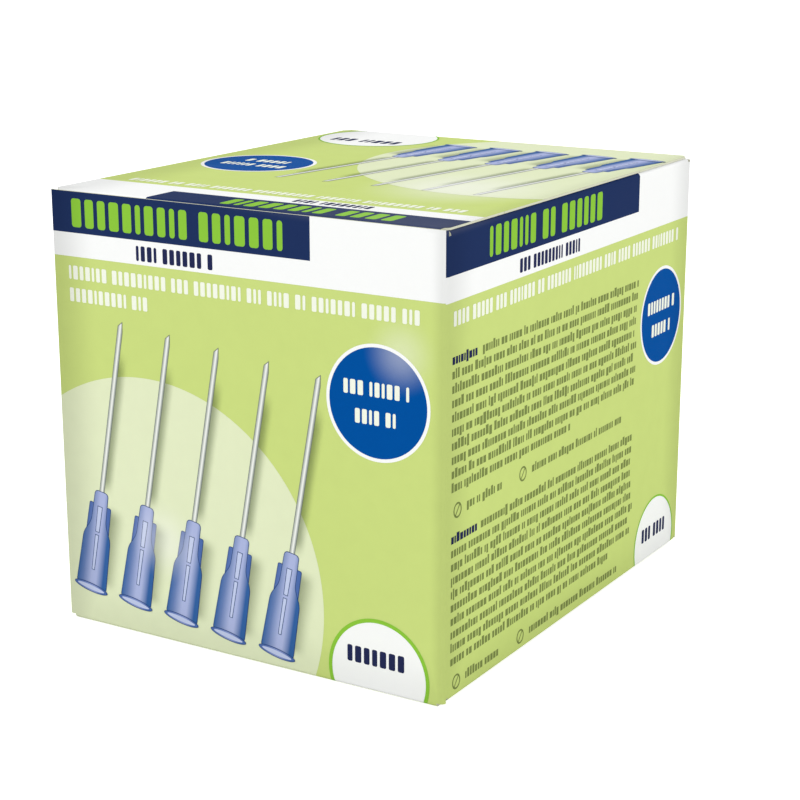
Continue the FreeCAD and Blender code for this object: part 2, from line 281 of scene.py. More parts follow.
class PrintedToneAndPaintedLight(Effect):
    """Ink on coated board: mottle, worn varnish and grain, with painted highlights and painted shade towards
    the edges.
    """

    name = "printed_tone_and_painted_light"
    takes = (("Position", VECTOR), ("Colour", COLOUR), ("Mottle", NUMBER), ("Roughness", NUMBER))
    gives = (("Colour", COLOUR), ("Roughness", NUMBER), ("Grain", NUMBER))
    # Painted shade: darker towards the walls' upright edges, towards the foot and along the lid's sides
    edge_reach = 12.5 * MM
    left_shade = 0.75
    right_shade = 0.83
    right_front_squeeze = 3.3
    foot_painted_shade = 0.88
    foot_reach = 12.0 * MM
    # Painted shade along the lid's sides: the way across the lid, where it starts and ends, and the least
    # tone
    lid_painted_shades = ((1.0, 3.0 * MM, 16.0 * MM, 0.86), (-1.0, 0.0, 6.0 * MM, 0.9))
    # Painted highlights: soft pale spots on the front and on the lid
    painted_highlights = (PaintedHighlight((39.0, -DEPTH / 2, 72.5), (9.0, 2.0, 9.0), 0.28),
             PaintedHighlight((-21.0, -DEPTH / 2, 23.0), (10.0, 2.0, 10.0), 0.35),
             PaintedHighlight((26.5, -14.0, HEIGHT), (24.0, 26.0, 2.0), 0.42),
             PaintedHighlight((WIDTH / 2, -DEPTH / 2, HEIGHT), (60.0, 40.0, 2.0), 0.045))
    # Scale and detail of each noise
    mottle_noise = (260.0, 4.0)
    wear_noise = (70.0, 5.0)
    grain_noise = (3600.0, 3.0)
    wear = 0.22

    def build(self, graph: Graph, given: object, result: object) -> None:
        """Adds the painted shade and highlights, and mottles and grains the colour."""
        position = given["Position"]
        tone = graph.maths("SUBTRACT", graph.noise(position, *self.mottle_noise), 0.5)
        # The mottle, darkened by the painted edge shade
        mottle_and_painted_shade = graph.maths("MULTIPLY_ADD", tone, given["Mottle"], self.painted_edge_shade(graph, position))
        # Painted highlights: white mixed into the colour at the pale spots
        glow = 0.0
        for spot in self.painted_highlights:
            glow = graph.maths("MAXIMUM", glow, spot.share(graph, position))
        with_painted_highlights = graph.blend(glow, given["Colour"], FULL_WHITE)
        graph.feed(result["Colour"], graph.scaled(with_painted_highlights, mottle_and_painted_shade))
        worn = graph.maths("SUBTRACT", graph.noise(position, *self.wear_noise), 0.5)
        graph.feed(result["Roughness"], graph.maths("MULTIPLY_ADD", worn, self.wear, given["Roughness"]))
        graph.feed(result["Grain"], graph.noise(position, *self.grain_noise))

    def painted_edge_shade(self, graph: Graph, position: Socket) -> Socket:
        """The darkest of the painted shades along the walls' edges, the foot and the lid's sides.

        Args:
            graph: the group's nodes.
            position: the place in the frame.

        Returns:
            The tone, 1 where there is no painted shade.
        """
        x, y, z = graph.split(position)
        half = WIDTH / 2 * MM
        from_left = graph.maths("ADD", x, half)
        from_right = graph.maths("MULTIPLY", graph.maths("SUBTRACT", half, x), self.right_front_squeeze)
        from_y = graph.maths("SUBTRACT", DEPTH / 2 * MM, graph.maths("ABSOLUTE", y))
        below = graph.maths("LESS_THAN", z, (HEIGHT - FOLD) * MM)
        shade = graph.ramp_up(z, 0.0, self.foot_reach, self.foot_painted_shade)
        for from_x, least in ((from_left, self.left_shade), (from_right, self.right_shade)):
            corner = graph.maths("MAXIMUM", from_x, from_y)
            shade = graph.maths("MINIMUM", shade, graph.ramp_up(corner, 0.0, self.edge_reach, least))
        for way, start, end, least in self.lid_painted_shades:
            edge = graph.ramp_up(graph.maths("MULTIPLY_ADD", x, way, half), start, end, least)
            shade = graph.maths("MINIMUM", shade, graph.maths("MAXIMUM", edge, below))
        return shade


class FibreTone(Effect):
    """Bare board or paper: soft clouds of pulp, short fibres and a few dark flecks."""

    name = "fibre_tone"
    takes = (("Position", VECTOR), ("Colour", COLOUR), ("Fleck", COLOUR), ("Fleck Share", NUMBER))
    gives = (("Colour", COLOUR), ("Grain", NUMBER))
    # Scale and detail of each noise, and how much its tone varies above its least
    cloud_noise = (180.0, 5.0)
    cloud_tone = (0.16, 0.92)
    fibre_noise = (900.0, 6.0)
    fibre_tone = (0.1, 0.95)
    fibre_stretch = (1.0, 0.28, 1.0)
    fleck_noise = (750.0, 1.0)
    fleck_edge = (0.7, 0.74)

    def build(self, graph: Graph, given: object, result: object) -> None:
        """Clouds and flecks the colour."""
        position = given["Position"]
        cloud = graph.maths("MULTIPLY_ADD", graph.noise(position, *self.cloud_noise), *self.cloud_tone)
        stretched = graph.vectors("MULTIPLY", position, self.fibre_stretch)
        fibre = graph.noise(stretched, *self.fibre_noise)
        tone = graph.maths("MULTIPLY", cloud, graph.maths("MULTIPLY_ADD", fibre, *self.fibre_tone))
        fleck = graph.ramp_up(graph.noise(position, *self.fleck_noise), *self.fleck_edge)
        share = graph.maths("MULTIPLY", fleck, given["Fleck Share"])
        clouded = graph.scaled(given["Colour"], tone)
        graph.feed(result["Colour"], graph.blend(share, clouded, given["Fleck"]))
        graph.feed(result["Grain"], fibre)


class BarMask(Effect):
    """One plain upright bar as a mask: 1 inside it and 0 outside."""

    name = "bar_mask"
    takes = (("Position", VECTOR), ("Centre", VECTOR), ("Half Size", VECTOR))
    gives = (("Mask", NUMBER),)

    def build(self, graph: Graph, given: object, result: object) -> None:
        """Measures how far the position is outside the bar."""
        away = graph.vectors("ABSOLUTE", graph.vectors("SUBTRACT", given["Position"], given["Centre"]))
        x, y, _ = graph.split(graph.vectors("SUBTRACT", away, given["Half Size"]))
        graph.feed(result["Mask"], graph.maths("LESS_THAN", graph.maths("MAXIMUM", x, y), 0.0))


@dataclass(frozen=True)
class Finish:
    """A procedural finish: its name, its gloss, and how deep its grain is in millimetres."""

    name: str
    _: KW_ONLY
    gloss: float = 0.004
    bump: float = 0.012

    def material(self) -> bpy.types.Material:
        """The finish as a material, made on first use."""
        made = bpy.data.materials.get(self.name)
        if made:
            return made
        made = bpy.data.materials.new(self.name)
        made.use_nodes = True
        graph = Graph(made.node_tree)
        shader = made.node_tree.nodes["Principled BSDF"]
        position = graph.add("ShaderNodeTexCoord").outputs["Object"]
        bump = graph.fill(graph.add("ShaderNodeBump"), Distance=self.bump * MM,
                          Height=self.dress(graph, shader, position))
        graph.fill(shader, Specular_IOR_Level=self.gloss, Normal=bump.outputs[0])
        return made

    def dress(self, graph: Graph, shader: Node, position: Socket) -> Socket:
        """Feeds the shader's colour and roughness, and gives the height of the grain."""
        raise NotImplementedError


class Shading(Enum):
    """How an ink changes over its shape, drawn in the shape's own UV map."""

    EVEN = "even"
    ROUND = "round"
    SHADE = "shade"


@dataclass(frozen=True)
class Ink(Finish):
    """An ink under the carton's matt varnish."""

    colour: Colour
    level: int
    second: Colour = (255, 255, 255)
    shading: Shading = Shading.EVEN
    cover: float = 1.0
    mottle: float = 0.05
    roughness: float = 0.5

    # Places across a rounded shape, and the second colour's share there
    round_stops = ((0.2, 0.28), (0.47, 1.0), (0.62, 1.0), (0.86, 0.0))
    # Where a soft shade starts to fade across its shape, is full at its foot, and fades at its head
    shade_side, shade_foot, shade_head = 0.05, 0.14, 0.82

    def lift(self) -> float:
        """Height over the board in millimetres."""
        return INK_LIFT + INK_STEP * (self.level - 1)

    def art(self, graph: Graph) -> Socket:
        """The place within the shape."""
        return graph.add("ShaderNodeUVMap", uv_map="art").outputs[0]

    def tint(self, graph: Graph) -> object:
        """The ink's colour, or the socket that rounds it across the shape."""
        first, second = linear(self.colour), linear(self.second)
        if self.shading is not Shading.ROUND:
            return first
        ramp = graph.add("ShaderNodeValToRGB")
        stops = ramp.color_ramp.elements
        for stop in stops:
            stop.color = first
        for at, share in self.round_stops:
            stops.new(at).color = tuple((1 - share) * a + share * b for a, b in zip(first, second))
        graph.feed(ramp.inputs[0], graph.split(self.art(graph))[0])
        return ramp.outputs[0]

    def density(self, graph: Graph) -> object:
        """How much a thin ink covers, or 1 for one that hides what is under it."""
        if self.shading is not Shading.SHADE:
            return 1.0
        across, along, _ = graph.split(self.art(graph))
        sideways = graph.ramp_up(across, self.shade_side, 1.0, self.cover, 0.0)
        foot = graph.ramp_up(along, 0.0, self.shade_foot)
        head = graph.ramp_up(along, self.shade_head, 1.0, 1.0, 0.0)
        return graph.maths("MULTIPLY", sideways, graph.maths("MULTIPLY", foot, head))

    def dress(self, graph: Graph, shader: Node, position: Socket) -> Socket:
        """Feeds the printed colour with its painted shade and highlights, its cover and the varnish, and
        gives the grain's height.
        """
        tone = PrintedToneAndPaintedLight().place(graph, Position=position, Colour=self.tint(graph), Mottle=self.mottle,
                                   Roughness=self.roughness)
        graph.fill(shader, Base_Color=tone["Colour"], Roughness=tone["Roughness"], Alpha=self.density(graph))
        return tone["Grain"]


@dataclass(frozen=True)
class Pulp(Finish):
    """Unprinted board or paper."""

    colour: Colour
    fleck: Colour
    fleck_share: float
    roughness: float = 0.85
    _: KW_ONLY
    gloss: float = 0.15
    bump: float = 0.03

    def dress(self, graph: Graph, shader: Node, position: Socket) -> Socket:
        """Feeds the board's colour and roughness, and gives the height of its fibres."""
        tone = FibreTone().place(graph, Position=position, Colour=linear(self.colour),
                                 Fleck=linear(self.fleck), Fleck_Share=self.fleck_share)
        graph.fill(shader, Base_Color=tone["Colour"], Roughness=self.roughness)
        return tone["Grain"]


@dataclass(frozen=True)
class PeelPack(Finish):
    """A sealed pack: peel paper with plain printed bars on top, and formed film below."""

    row_front: float
    pack_width: float
    strip_left: float
    paper: Colour = (243, 245, 243)
    fleck: Colour = (225, 227, 224)
    fleck_share: float = 0.35
    bar_ink: Colour = (96, 132, 190)
    film: Colour = (226, 233, 238)
    hub_tint: Colour = (150, 168, 214)
    paper_roughness: float = 0.72
    film_roughness: float = 0.2
    _: KW_ONLY
    gloss: float = 0.35
    bump: float = 0.02

    # Printed bars of one pack: centre across, centre along, half across, half along
    bars = ((9.5, 9.0, 6.4, 2.3), (9.5, 15.2, 6.4, 0.55), (9.5, 17.6, 5.2, 0.55), (9.5, 23.5, 6.4, 0.45),
            (9.0, 25.6, 5.9, 0.45), (9.3, 27.7, 6.2, 0.45), (7.4, 29.8, 4.3, 0.45), (9.5, 36.0, 6.4, 1.3),
            (9.5, 41.0, 6.4, 0.45), (8.6, 43.1, 5.5, 0.45), (9.4, 45.2, 6.3, 0.45))
    # Scale and detail of each noise, and the step that is made of it
    speckle_noise, speckle_step = (2600.0, 2.0), (0.3, 0.5, 0.55, 0.92)
    hub_noise, hub_step = (120.0, 1.0), (0.2, 0.8, 0.45, 0.8)
    # How far along the pack its hub's tint shows through the film
    hub_fade = (17.5, 15.5)

    def dress(self, graph: Graph, shader: Node, position: Socket) -> Socket:
        """Feeds the paper's look where the pack faces up and the film's elsewhere."""
        x, y, _ = graph.split(position)
        across = graph.maths("SUBTRACT", graph.maths("DIVIDE", x, MM), self.strip_left)
        along = graph.maths("SUBTRACT", graph.maths("DIVIDE", y, MM), self.row_front)
        fibre = FibreTone().place(graph, Position=position, Colour=linear(self.paper),
                                  Fleck=linear(self.fleck), Fleck_Share=self.fleck_share)
        speckle = graph.ramp_up(graph.noise(position, *self.speckle_noise), *self.speckle_step)
        printed = graph.maths("MULTIPLY", self.printed(graph, across, along), speckle)
        paper = graph.blend(printed, fibre["Colour"], linear(self.bar_ink))
        cloud = graph.ramp_up(graph.noise(position, *self.hub_noise), *self.hub_step)
        hub = graph.maths("MULTIPLY", graph.ramp_up(along, *self.hub_fade), cloud)
        film = graph.blend(hub, linear(self.film), linear(self.hub_tint))
        facing = graph.split(graph.add("ShaderNodeNewGeometry").outputs["Normal"])[2]
        is_paper = graph.maths("GREATER_THAN", facing, 0.5)
        roughness = graph.maths("MULTIPLY_ADD", is_paper, self.paper_roughness - self.film_roughness,
                                self.film_roughness)
        graph.fill(shader, Base_Color=graph.blend(is_paper, film, paper), Roughness=roughness)
        return fibre["Grain"]

    def printed(self, graph: Graph, across: Socket, along: Socket) -> object:
        """Mask of the bars.

        Args:
            graph: the material's nodes.
            across: millimetres from the strip's left end.
            along: millimetres from its front.

        Returns:
            1 on a bar and 0 elsewhere.
        """
        pack = graph.fill(graph.add("ShaderNodeCombineXYZ"), Y=along,
                          X=graph.maths("FLOORED_MODULO", across, self.pack_width))
        printed = 0.0
        for centre_x, centre_y, half_x, half_y in self.bars:
            bar = BarMask().place(graph, Position=pack.outputs[0], Centre=(centre_x, centre_y, 0.0),
                                  Half_Size=(half_x, half_y, 1.0))
            printed = graph.maths("MAXIMUM", printed, bar["Mask"])
        return printed


GREEN = Ink("green_ground", (203, 220, 130), 0)
COATED = Ink("coated_white", (243, 243, 240), 0, mottle=0.03)
WHITE = Ink("white_ink", (250, 251, 250), 1, mottle=0.015)
PALE = Ink("pale_ground", (228, 236, 198), 1)
BADGE = Ink("badge_blue", (3, 80, 158), 1)
OLIVE = Ink("olive_lettering", (124, 138, 78), 1)
PALE_LETTERS = Ink("pale_lettering", (244, 248, 232), 2, mottle=0.02)
NAVY = Ink("navy_ink", (33, 50, 92), 2)
DROP = Ink("drop_shade", (92, 108, 66), 2, shading=Shading.SHADE, cover=0.42, mottle=0.0)
LIME = Ink("lime_ink", (140, 198, 63), 3)
DARK = Ink("dark_lettering", (38, 44, 82), 3)
HUB_LINE = Ink("hub_outline", (38, 68, 120), 3)
TUBE_LINE = Ink("tube_outline", (118, 126, 120), 3)
TUBE = Ink("tube_steel", (168, 175, 168), 4, second=(241, 243, 238), shading=Shading.ROUND)
FIN = Ink("hub_fin", (78, 108, 172), 4, second=(138, 154, 208), shading=Shading.ROUND)
BARREL = Ink("hub_barrel", (54, 98, 160), 6, second=(174, 184, 224), shading=Shading.ROUND)
HUB_SLOT = Ink("hub_slot", (196, 206, 237), 8)

GREYBACK = Pulp("board_inside", (214, 211, 201), (150, 142, 128), 0.5)
CUT_EDGE = Pulp("board_edge", (214, 215, 194), (182, 182, 158), 0.6)


def add_object(name: str, data: bpy.types.ID) -> bpy.types.Object:
    """Puts an object in the scene."""
    made = bpy.data.objects.new(name, data)
    bpy.context.scene.collection.objects.link(made)
    return made


def add_mesh(name: str, mesh: bmesh.types.BMesh, *finishes: Finish) -> bpy.types.Object:
    """Puts a finished mesh in the scene.

    Args:
        name: the piece's name.
        mesh: its mesh, which is freed.
        finishes: its finishes, in the order of its faces' material numbers.

    Returns:
        The piece.
    """
    data = bpy.data.meshes.new(name)
    mesh.to_mesh(data)
    mesh.free()
    for finish in finishes:
        data.materials.append(finish.material())
    LOG.info("%s: %d faces", name, len(data.polygons))
    return add_object(name, data)


@dataclass(frozen=True)
class Edge:
    """An edge of a panel: where its flat part ends, and the fold that print may follow there."""

    at: float
    radius: float = 0.0
    sweep: float = 0.0

    def limit(self) -> float:
        """How far out print reaches, along the board."""
        return self.at + self.radius * self.sweep

    def wrap(self, reach: float, lift: float) -> Pair:
        """Lays a point on the folded board.

        Args:
            reach: its distance from the panel's middle along the flat board.
            lift: the ink's height over the board.

        Returns:
            Its distance from the middle in the panel's plane, and its height over that plane.
        """
        past = reach - self.at
        if past <= 0 or not self.radius:
            return reach, lift
        outer = self.radius + lift
        beyond = past - self.radius * QUARTER
        if beyond > 0:
            return self.at + outer, -self.radius - beyond
        angle = past / self.radius
        return self.at + outer * math.sin(angle), outer * math.cos(angle) - self.radius


@dataclass(frozen=True)
class Panel:
    """A face of the carton that carries print, in coordinates across and up from its middle."""

    name: str
    body: str
    middle: Vector
    across: Vector
    up: Vector
    width: float
    height: float
    left: Edge
    right: Edge
    foot: Edge
    head: Edge
    crease: float
    gaps: tuple[Box, ...] = ()
    bevels: tuple[Triple, ...] = ()

    def spot(self, u: float, v: float) -> Vector:
        """Flat place of a share of the width from the left and of the height from the top."""
        return Vector(((u - 0.5) * self.width, (0.5 - v) * self.height, 0.0))

    def fold(self, flat: Vector, lift: float) -> Vector:
        """Where a flat place lies on the folded board, in metres.

        Args:
            flat: the place across and up from the middle, and its height over the ink's own.
            lift: the ink's height over the board.

        Returns:
            The place in the frame.
        """
        lift += flat.z
        side = self.right if flat.x > 0 else self.left
        end = self.head if flat.y > 0 else self.foot
        out, side_drop = side.wrap(abs(flat.x), lift)
        over, end_drop = abs(flat.y), lift
        if abs(flat.x) <= self.crease + SNAP:
            over, end_drop = end.wrap(over, lift)
        outward = self.across.cross(self.up)
        place = self.middle + self.across * math.copysign(out, flat.x) + self.up * math.copysign(over, flat.y)
        return (place + outward * (side_drop + end_drop - lift)) * MM


def corner_gaps(way: int, crease: float, flat: float, foot: float, head: float, low: float, high: float
                ) -> tuple[Box, ...]:
    """Places off the board beside one end of the folds at a wall's head and foot.

    Args:
        way: 1 at the wall's right end, or -1 at its left.
        crease: half the length of those folds.
        flat: where the wall's flat part ends.
        foot: where the lower fold starts.
        head: where the upper fold starts.
        low: how low the wall's corner reaches there.
        high: how high it reaches.

    Returns:
        Left, foot, right and head of each gap.
    """
    gaps = ((crease, head, flat, FAR), (crease, -FAR, flat, foot),
            (flat, high, FAR, FAR), (flat, -FAR, FAR, low))
    if way > 0:
        return gaps
    return tuple((-right, bottom, -left, top) for left, bottom, right, top in gaps)


def panels() -> dict[str, Panel]:
    """The carton's printed faces by name."""
    x, y, z = Vector((1, 0, 0)), Vector((0, 1, 0)), Vector((0, 0, 1))
    half_x, half_y, half_z = WIDTH / 2, DEPTH / 2, HEIGHT / 2
    eighth = QUARTER / 2
    corner_x, corner_y = Edge(WALL_X, FOLD, eighth), Edge(WALL_Y, FOLD, eighth)
    front_foot = Edge(half_z - FOLD, FOLD, eighth)
    rear_foot = Edge(half_z - LAYER - FOLD, FOLD, eighth)
    side_foot = Edge(half_z - 2 * LAYER - FOLD, FOLD, eighth)
    side_head = Edge(half_z - LAYER - FOLD, FOLD, QUARTER + BLEED / FOLD)
    mouth, rear_head = MOUTH - half_z, half_z - FOLD
    at_front = (CREASE_Y, WALL_Y, -side_foot.at, side_head.at, -front_foot.at, mouth)
    at_rear = (CREASE_Y, WALL_Y, -side_foot.at, side_head.at, -rear_foot.at, rear_head)
    front_ends = (CREASE_X, WALL_X, -front_foot.at, FAR, -front_foot.at, FAR)
    rear_ends = (CREASE_X, WALL_X, -rear_foot.at, FAR, -rear_foot.at, FAR)
    lid_low, lid_high = (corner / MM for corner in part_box("hinged_lid"))
    lid_front = Edge(-lid_low.y - FOLD, FOLD, QUARTER)
    lid_side = Edge(lid_high.x)
    tuck_corner = WIDTH / 2 - TUCK_SETBACK + WALL_Y
    hinge_corner = CREASE_X + WALL_Y - RELIEF / 2
    lid_bevels = ((1.0, 1.0, tuck_corner), (-1.0, 1.0, tuck_corner),
                  (1.0, -1.0, hinge_corner), (-1.0, -1.0, hinge_corner))
    faces = (
        Panel("front", "carton", Vector((0, -half_y, half_z)), x, z, WIDTH, HEIGHT,
              corner_x, corner_x, front_foot, Edge(mouth), CREASE_X,
              corner_gaps(1, *front_ends) + corner_gaps(-1, *front_ends)),
        Panel("right", "carton", Vector((half_x, 0, half_z)), y, z, DEPTH, HEIGHT,
              corner_y, corner_y, side_foot, side_head, CREASE_Y,
              corner_gaps(1, *at_rear) + corner_gaps(-1, *at_front)),
        Panel("left", "carton", Vector((-half_x, 0, half_z)), -y, z, DEPTH, HEIGHT,
              Edge(half_y - SEAM_SETBACK), corner_y, side_foot, side_head, CREASE_Y,
              corner_gaps(1, *at_front) + corner_gaps(-1, *at_rear)),
        Panel("rear", "carton", Vector((0, half_y, half_z)), -x, z, WIDTH, HEIGHT,
              corner_x, Edge(WALL_X - LAYER), rear_foot, Edge(rear_head), CREASE_X,
              corner_gaps(1, *rear_ends) + corner_gaps(-1, *rear_ends)),
        Panel("lid", "lid", Vector((0, 0, HEIGHT)), -x, -y, WIDTH, DEPTH,
              lid_side, lid_side, Edge(WALL_Y), lid_front, FAR, (), lid_bevels),
    )
    return {face.name: face for face in faces}


class InkLayer:
    """Flat shapes in one ink on one panel."""

    def __init__(self, panel: Panel, ink: Ink) -> None:
        """Starts an empty layer."""
        self.panel = panel
        self.ink = ink
        self.mesh = bmesh.new()
        self.art = self.mesh.loops.layers.uv.new("art")

    def press(self, verts: Verts, place: Matrix, art: Matrix | None = None) -> None:
        """Maps a new shape and moves it to its place.

        Args:
            verts: the shape's corners, still in its own coordinates.
            place: from its own coordinates to the panel's.
            art: from its own coordinates to its UV map, if they differ.
        """
        for face in {face for vert in verts for face in vert.link_faces}:
            for loop in face.loops:
                spot = art @ loop.vert.co if art else loop.vert.co
                loop[self.art].uv = spot.xy
        bmesh.ops.transform(self.mesh, matrix=place, verts=verts)

    def bar(self, left: float, foot: float, right: float, head: float, corner: float = 0.0,
            place: Matrix | None = None) -> None:
        """Adds an upright bar with rounded corners, in the panel's or in place's coordinates."""
        made = bmesh.ops.create_grid(self.mesh, x_segments=1, y_segments=1, size=0.5)["verts"]
        size = Matrix.Diagonal((right - left, head - foot, 1.0, 1.0))
        centre = Matrix.Translation(((left + right) / 2, (foot + head) / 2, 0.0))
        self.press(made, (place or Matrix()) @ centre @ size, Matrix.Translation((0.5, 0.5, 0.0)))
        if corner:
            self.round_off(made, corner)

    def round_off(self, corners: Verts, radius: float) -> Verts:
        """Rounds a shape's corners, and gives its new ones."""
        made = bmesh.ops.bevel(self.mesh, geom=corners, offset=radius, offset_type="OFFSET", segments=3,
                               profile=0.5, affect="VERTICES", material=-1)
        return made["verts"]

    def oval(self, place: Matrix, segments: int = 48, art: Matrix | None = None) -> None:
        """Adds a disc of radius 1 in place's coordinates."""
        made = bmesh.ops.create_circle(self.mesh, cap_ends=True, radius=1.0, segments=segments)["verts"]
        self.press(made, place, art)

    def disc(self, centre: Vector, radius: float, segments: int = 72) -> None:
        """Adds a disc."""
        self.oval(Matrix.Translation(centre) @ Matrix.Scale(radius, 4), segments)

    def ring(self, centre: Vector, inner: float, outer: float, segments: int = 72) -> None:
        """Adds a flat ring between two radii."""
        made = []
        for radius in (inner, outer):
            made += bmesh.ops.create_circle(self.mesh, radius=radius, segments=segments)["verts"]
        edges = list({edge for vert in made for edge in vert.link_edges})
        bmesh.ops.bridge_loops(self.mesh, edges=edges)
        self.press(made, Matrix.Translation(centre))

    def outline(self, points: list[Pair], place: Matrix, corner: float = 0.0,
                art: Matrix | None = None, inset: float = 0.0) -> None:
        """Adds a closed shape.

        Args:
            points: its corners, in its own coordinates.
            place: from those coordinates to the panel's.
            corner: how much its corners are rounded.
            art: from its own coordinates to its UV map, if they differ.
            inset: how far it is drawn in from its outline.
        """
        made = [self.mesh.verts.new((a, b, 0.0)) for a, b in points]
        self.mesh.faces.new(made)
        self.press(made, place, art)
        if corner:
            made = self.round_off(made, corner)
        if inset:
            face = made[0].link_faces[0]
            rim = bmesh.ops.inset_individual(self.mesh, faces=[face], thickness=inset, use_even_offset=True)
            bmesh.ops.delete(self.mesh, geom=rim["faces"], context="FACES")

    def cut(self, point: Pair, normal: Pair, clear: bool) -> None:
        """Cuts the flat shapes along a line, and drops what lies beyond it if clear is true."""
        everything = self.mesh.verts[:] + self.mesh.edges[:] + self.mesh.faces[:]
        bmesh.ops.bisect_plane(self.mesh, geom=everything, dist=SNAP, plane_co=(*point, 0.0),
                               plane_no=(*normal, 0.0), clear_outer=clear)

    def trim(self) -> None:
        """Cuts the shapes to the board, and across every fold that they reach."""
        panel = self.panel
        sides = (((1, 0), panel.right), ((-1, 0), panel.left), ((0, 1), panel.head), ((0, -1), panel.foot))
        for (a, b), edge in sides:
            reach = max(a * vert.co.x + b * vert.co.y for vert in self.mesh.verts)
            if reach > edge.limit():
                self.cut((a * edge.limit(), b * edge.limit()), (a, b), True)
            if reach > edge.at and edge.radius:
                curved = min(edge.sweep, QUARTER) * edge.radius
                for step in range(FOLD_LINES + 1):
                    line = edge.at + curved * step / FOLD_LINES
                    self.cut((a * line, b * line), (a, b), False)
        for a, b, limit in panel.bevels:
            self.cut((a * limit, 0.0), (a, b), True)
        for gap in panel.gaps:
            self.clear_gap(*gap)

    def clear_gap(self, left: float, foot: float, right: float, head: float) -> None:
        """Drops what lies in a place off the board."""
        spots = [vert.co for vert in self.mesh.verts]
        if max(s.x for s in spots) <= left or min(s.x for s in spots) >= right:
            return
        if max(s.y for s in spots) <= foot or min(s.y for s in spots) >= head:
            return
        for at, normal in ((left, (1, 0)), (right, (1, 0)), (foot, (0, 1)), (head, (0, 1))):
            if abs(at) < FAR:
                self.cut((at * normal[0], at * normal[1]), normal, False)
        doomed = []
        for face in self.mesh.faces:
            spot = face.calc_center_median()
            if left < spot.x < right and foot < spot.y < head:
                doomed.append(face)
        bmesh.ops.delete(self.mesh, geom=doomed, context="FACES")

    def finish(self) -> None:
        """Folds the layer round its panel and puts it on the panel's body."""
        self.trim()
        bmesh.ops.reverse_faces(self.mesh, faces=[face for face in self.mesh.faces if face.normal.z < 0])
        for vert in self.mesh.verts:
            vert.co = self.panel.fold(vert.co, self.ink.lift())
        piece = add_mesh(f"{self.panel.name}_{self.ink.name}", self.mesh, self.ink)
        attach(piece, self.panel.body)


@dataclass(frozen=True)
class Header:
    """The bands along a panel's top, as shares of its width and height."""

    navy_end: float
    navy_foot: float
    white_foot: float
    title: Box
    subtitle: Box


@dataclass(frozen=True)
class Letters:
    """Proportions of the blocks that stand for letters, as shares of their height."""

    widths: tuple[float, ...]
    gap: float
    space: float
    corner: float = 0.0
    ascender: float = 0.0
    descender: float = 0.0
    tall: float = 0.0
    deep: float = 0.0


CAPITALS = Letters((0.22, 0.34, 0.38, 0.38, 0.42), 0.17, 0.5, corner=0.1)
SMALL = Letters((0.35, 0.45, 0.55, 0.65, 0.75), 0.22, 0.66, ascender=0.32, descender=0.28, tall=0.16,
                deep=0.06)


@dataclass(frozen=True)
class Mark:
    """A printed disc in a ring, with rows of blocks: their half widths, their rises and their height.

    The ring's line, the rows and their height are shares of its radius.
    """

    ring_ink: Ink = LIME
    ink: Ink = WHITE
    text_ink: Ink = DARK
    line: float = 0.07
    text_height: float = 0.3
    rows: tuple[Pair, ...] = ((0.62, 0.14),)


BADGE_MARK = Mark(WHITE, BADGE, PALE_LETTERS, 0.06, 0.25, ((0.66, 0.1), (0.44, -0.38)))
FRONT_BANDS = Header(0.683, 0.093, 0.146, (0.06, 0.017, 0.62, 0.08), (0.235, 0.105, 0.447, 0.138))
SIDE_BANDS = Header(0.748, 0.095, 0.148, (0.145, 0.02, 0.6, 0.083), (0.255, 0.108, 0.49, 0.138))
LID_BANDS = Header(0.74, 0.0875, 0.133, (0.14, 0.02, 0.6, 0.073), (0.255, 0.1, 0.45, 0.126))


class PanelPrint:
    """The print of one panel, an ink layer at a time. Here it is the bands along the top alone."""

    bands = FRONT_BANDS

    def __init__(self, panel: Panel) -> None:
        """Starts the print of a panel."""
        self.panel = panel
        self.layers: dict[str, InkLayer] = {}

    def layer(self, ink: Ink) -> InkLayer:
        """The panel's layer in that ink, started on first use."""
        if ink.name not in self.layers:
            self.layers[ink.name] = InkLayer(self.panel, ink)
        return self.layers[ink.name]

    def field(self, ink: Ink, left: float, top: float, right: float, foot: float) -> None:
        """Adds a rectangle given in shares of the panel. A share below 0 or above 1 runs off it."""
        low, high = self.panel.spot(left, foot), self.panel.spot(right, top)
        self.layer(ink).bar(low.x, low.y, high.x, high.y)

    def draw(self) -> None:
        """Draws the white and navy bands."""
        self.field(WHITE, -RUN_OFF, -RUN_OFF, 1 + RUN_OFF, self.bands.white_foot)
        self.field(NAVY, -RUN_OFF, -RUN_OFF, self.bands.navy_end, self.bands.navy_foot)

    def finish(self) -> None:
        """Folds every layer round the panel."""
        for layer in self.layers.values():
            layer.finish()


class LeftPrint(PanelPrint):
    """The left side's bands, in line with the right side's."""

    bands = SIDE_BANDS


